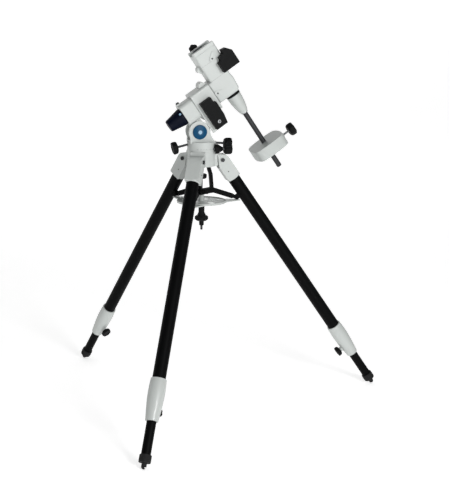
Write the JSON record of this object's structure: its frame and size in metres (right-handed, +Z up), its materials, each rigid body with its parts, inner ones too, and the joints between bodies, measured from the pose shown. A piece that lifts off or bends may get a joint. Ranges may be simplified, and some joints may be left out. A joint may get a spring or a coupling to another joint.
{
  "type": "equatorial mount",
  "caption": "Motor-driven German equatorial telescope mount in cream enamel and black, standing on a tubular steel field tripod with an accessory tray.",
  "frame": {"origin": "on the ground, at the centre of the box round the object", "axes": "+Z up; +X north, towards the single leg below the counterweight; +Y west, away from the motor covers"},
  "size_m": [1.0446, 1.2, 1.3036],
  "materials": {
    "cream_paint": "gloss",
    "cream_iron": "gloss",
    "black_satin": "satin",
    "black_plastic": "satin",
    "navy_plastic": "gloss",
    "blue_cap": "gloss",
    "dark_steel": "brushed",
    "bright_steel": "machined",
    "brass": "machined",
    "black_rubber": "matte"
  },
  "bodies": {
    "tripod": {"tripod_hub": "cream_paint", "leg_pivot_bolts": "bright_steel"},
    "centre_bolt": {"centre_bolt": "dark_steel", "centre_bolt_knob": "black_plastic"},
    "spider": {"brace_spider": "black_satin"},
    "tray": {"spreader_tray": "cream_paint"},
    "tension_sleeve": {"tension_sleeve": "black_plastic"},
    "tension_knob": {"tension_knob": "black_plastic"},
    "leg_north": {"leg_bracket_north": "cream_paint", "leg_outer_tube_north": "black_satin", "leg_clamp_north": "cream_paint"},
    "clamp_knob_north": {"leg_clamp_knob_north": "black_plastic"},
    "lower_leg_north": {"leg_inner_tube_north": "black_satin", "leg_foot_north": "black_rubber"},
    "brace_arm_north": {"brace_arm_north": "black_satin"},
    "leg_west": {"leg_bracket_west": "cream_paint", "leg_outer_tube_west": "black_satin", "leg_clamp_west": "cream_paint"},
    "clamp_knob_west": {"leg_clamp_knob_west": "black_plastic"},
    "lower_leg_west": {"leg_inner_tube_west": "black_satin", "leg_foot_west": "black_rubber"},
    "brace_arm_west": {"brace_arm_west": "black_satin"},
    "leg_east": {"leg_bracket_east": "cream_paint", "leg_outer_tube_east": "black_satin", "leg_clamp_east": "cream_paint"},
    "clamp_knob_east": {"leg_clamp_knob_east": "black_plastic"},
    "lower_leg_east": {"leg_inner_tube_east": "black_satin", "leg_foot_east": "black_rubber"},
    "brace_arm_east": {"brace_arm_east": "black_satin"},
    "azimuth_base": {"azimuth_base": "cream_paint", "latitude_pivot_bolt": "bright_steel", "latitude_pivot_caps": "blue_cap", "azimuth_boss": "black_plastic"},
    "azimuth_screw": {"azimuth_knob": "black_plastic"},
    "latitude_bolt_north": {"latitude_rod_north": "dark_steel"},
    "latitude_knob_north": {"latitude_knob_north": "black_plastic"},
    "latitude_bolt_south": {"latitude_rod_south": "dark_steel"},
    "latitude_knob_south": {"latitude_knob_south": "black_plastic"},
    "polar_axis_housing": {"polar_housing": "cream_paint", "polar_bearings": "bright_steel", "polar_motor_cover": "black_plastic", "polar_motor": "bright_steel"},
    "polar_cap": {"polar_cap": "navy_plastic"},
    "polar_worm": {"polar_worm": "brass"},
    "declination_housing": {"polar_shaft": "bright_steel", "polar_worm_wheel": "brass", "declination_housing": "cream_paint", "declination_motor_cover": "black_plastic", "declination_motor": "bright_steel", "setting_collar": "black_plastic", "counterweight_cone": "cream_paint", "counterweight_shaft": "dark_steel"},
    "declination_worm": {"declination_worm": "brass"},
    "saddle": {"declination_shaft": "bright_steel", "declination_worm_wheel": "brass", "saddle": "cream_paint"},
    "saddle_jaw": {"saddle_jaw": "bright_steel"},
    "saddle_knob": {"saddle_knob": "black_plastic"},
    "counterweight": {"counterweight": "cream_iron"},
    "counterweight_knob": {"counterweight_knob": "black_plastic"}
  },
  "joints": [
    {"name": "leg_fold_north", "type": "hinge", "parent": "tripod", "child": "leg_north", "pos_m": [-0.1008, 0, 0.887], "axis": [0, 1, 0], "range_deg": [0, 10]},
    {"name": "leg_extend_north", "type": "slide", "parent": "leg_north", "child": "lower_leg_north", "axis": [0.5696, 0, -0.8219], "range_m": [-0.1, 0.45]},
    {"name": "clamp_knob_turn_north", "type": "hinge", "parent": "leg_north", "child": "clamp_knob_north", "pos_m": [0.37576, 0, 0.14052], "axis": [-0.8219, 0, -0.5696], "range_deg": [-540, 0]},
    {"name": "leg_fold_west", "type": "hinge", "parent": "tripod", "child": "leg_west", "pos_m": [-0.20655, 0.06105, 0.887], "axis": [-0.866, -0.5, 0], "range_deg": [0, 10]},
    {"name": "leg_extend_west", "type": "slide", "parent": "leg_west", "child": "lower_leg_west", "axis": [-0.2848, 0.4933, -0.8219], "range_m": [-0.1, 0.45]},
    {"name": "clamp_knob_turn_west", "type": "hinge", "parent": "leg_west", "child": "clamp_knob_west", "pos_m": [-0.44483, 0.47377, 0.14052], "axis": [0.411, -0.7118, -0.5696], "range_deg": [-540, 0]},
    {"name": "leg_fold_east", "type": "hinge", "parent": "tripod", "child": "leg_east", "pos_m": [-0.20655, -0.06105, 0.887], "axis": [0.866, -0.5, 0], "range_deg": [0, 10]},
    {"name": "leg_extend_east", "type": "slide", "parent": "leg_east", "child": "lower_leg_east", "axis": [-0.2848, -0.4933, -0.8219], "range_m": [-0.1, 0.45]},
    {"name": "clamp_knob_turn_east", "type": "hinge", "parent": "leg_east", "child": "clamp_knob_east", "pos_m": [-0.44483, -0.47377, 0.14052], "axis": [0.411, 0.7118, -0.5696], "range_deg": [-540, 0]},
    {"name": "spider_lift", "type": "slide", "parent": "tripod", "child": "spider", "axis": [0, 0, 1], "range_m": [0, 0.0315]},
    {"name": "brace_arm_fold_north", "type": "hinge", "parent": "spider", "child": "brace_arm_north", "pos_m": [-0.1313, 0, 0.778], "axis": [0, 1, 0], "range_deg": [0, 29]},
    {"name": "brace_arm_fold_west", "type": "hinge", "parent": "spider", "child": "brace_arm_west", "pos_m": [-0.1913, 0.03464, 0.778], "axis": [-0.866, -0.5, 0], "range_deg": [0, 29]},
    {"name": "brace_arm_fold_east", "type": "hinge", "parent": "spider", "child": "brace_arm_east", "pos_m": [-0.1913, -0.03464, 0.778], "axis": [0.866, -0.5, 0], "range_deg": [0, 29]},
    {"name": "tray_turn", "type": "hinge", "parent": "tripod", "child": "tray", "pos_m": [-0.1713, 0, 0.735], "axis": [0, 0, 1], "range_deg": [0, 60.5]},
    {"name": "centre_bolt_turn", "type": "hinge", "parent": "tripod", "child": "centre_bolt", "pos_m": [-0.1713, 0, 0.83], "axis": [0, 0, 1], "continuous": true},
    {"name": "tension_knob_turn", "type": "hinge", "parent": "centre_bolt", "child": "tension_knob", "pos_m": [-0.1713, 0, 0.676], "axis": [0, 0, 1], "continuous": true},
    {"name": "tension_sleeve_turn", "type": "hinge", "parent": "centre_bolt", "child": "tension_sleeve", "pos_m": [-0.1713, 0, 0.69], "axis": [0, 0, 1], "continuous": true},
    {"name": "azimuth_turn", "type": "hinge", "parent": "tripod", "child": "azimuth_base", "pos_m": [-0.1713, 0, 0.919], "axis": [0, 0, 1], "range_deg": [-8, 8]},
    {"name": "azimuth_screw_turn", "type": "hinge", "parent": "azimuth_base", "child": "azimuth_screw", "pos_m": [-0.0913, -0.039, 0.9285], "axis": [1, 0, 0], "range_deg": [-2050, 2050]},
    {"name": "latitude_tilt", "type": "hinge", "parent": "azimuth_base", "child": "polar_axis_housing", "pos_m": [-0.1853, 0, 0.9875], "axis": [0, -1, 0], "range_deg": [-15, 20]},
    {"name": "latitude_bolt_travel_north", "type": "slide", "parent": "azimuth_base", "child": "latitude_bolt_north", "axis": [0.9971, 0, -0.0767], "range_m": [-0.0125, 0.0165]},
    {"name": "latitude_bolt_travel_south", "type": "slide", "parent": "azimuth_base", "child": "latitude_bolt_south", "axis": [-0.9728, 0, -0.2317], "range_m": [-0.0165, 0.0125]},
    {"name": "latitude_knob_turn_north", "type": "hinge", "parent": "latitude_bolt_north", "child": "latitude_knob_north", "pos_m": [-0.07562, 0, 0.94256], "axis": [0.9971, 0, -0.0767], "range_deg": [-2900, 3800]},
    {"name": "latitude_knob_turn_south", "type": "hinge", "parent": "latitude_bolt_south", "child": "latitude_knob_south", "pos_m": [-0.26896, 0, 0.93107], "axis": [-0.9728, 0, -0.2317], "range_deg": [-3800, 2900]},
    {"name": "polar_cap_pull", "type": "slide", "parent": "polar_axis_housing", "child": "polar_cap", "axis": [-0.8241, 0, -0.5664], "range_m": [0, 0.02]},
    {"name": "polar_axis_turn", "type": "hinge", "parent": "polar_axis_housing", "child": "declination_housing", "pos_m": [-0.0818, 0, 1.149], "axis": [0.8241, 0, 0.5664], "continuous": true},
    {"name": "polar_worm_turn", "type": "hinge", "parent": "polar_axis_housing", "child": "polar_worm", "pos_m": [-0.14829, 0, 1.05683], "axis": [0, 1, 0], "continuous": true},
    {"name": "declination_turn", "type": "hinge", "parent": "declination_housing", "child": "saddle", "pos_m": [-0.0818, 0, 1.149], "axis": [-0.5664, 0, 0.8241], "continuous": true},
    {"name": "declination_worm_turn", "type": "hinge", "parent": "declination_housing", "child": "declination_worm", "pos_m": [-0.12995, -0.0283, 1.21905], "axis": [0.8241, 0, 0.5664], "continuous": true},
    {"name": "counterweight_slide", "type": "slide", "parent": "declination_housing", "child": "counterweight", "axis": [-0.5664, 0, 0.8241], "range_m": [-0.055, 0.125]},
    {"name": "counterweight_knob_turn", "type": "hinge", "parent": "counterweight", "child": "counterweight_knob", "pos_m": [0.15397, 0, 0.98251], "axis": [0.8241, 0, 0.5664], "range_deg": [0, 720]},
    {"name": "saddle_knob_turn", "type": "hinge", "parent": "saddle", "child": "saddle_knob", "pos_m": [-0.1817, 0.064, 1.26963], "axis": [0, -1, 0], "range_deg": [0, 2304]},
    {"name": "saddle_jaw_travel", "type": "slide", "parent": "saddle", "child": "saddle_jaw", "axis": [0, -1, 0], "range_m": [0, 0.0081]}
  ],
  "couplings": [
    {"joint": "leg_fold_west", "follows": "leg_fold_north", "ratio": 1},
    {"joint": "leg_fold_east", "follows": "leg_fold_north", "ratio": 1},
    {"joint": "spider_lift", "follows": "leg_fold_north", "m_per_rad": 0.1759},
    {"joint": "brace_arm_fold_north", "follows": "leg_fold_north", "ratio": 2.84},
    {"joint": "brace_arm_fold_west", "follows": "leg_fold_north", "ratio": 2.84},
    {"joint": "brace_arm_fold_east", "follows": "leg_fold_north", "ratio": 2.84},
    {"joint": "tray_turn", "follows": "leg_fold_north", "ratio": 6},
    {"joint": "azimuth_screw_turn", "follows": "azimuth_turn", "ratio": 251},
    {"joint": "latitude_bolt_travel_north", "follows": "latitude_tilt", "m_per_rad": 0.0375},
    {"joint": "latitude_bolt_travel_south", "follows": "latitude_tilt", "m_per_rad": -0.0375},
    {"joint": "latitude_knob_turn_north", "follows": "latitude_tilt", "ratio": 188.5},
    {"joint": "latitude_knob_turn_south", "follows": "latitude_tilt", "ratio": -188.5},
    {"joint": "polar_worm_turn", "follows": "polar_axis_turn", "ratio": 72},
    {"joint": "declination_worm_turn", "follows": "declination_turn", "ratio": 50},
    {"joint": "saddle_jaw_travel", "follows": "saddle_knob_turn", "m_per_rad": 0.000199}
  ]
}
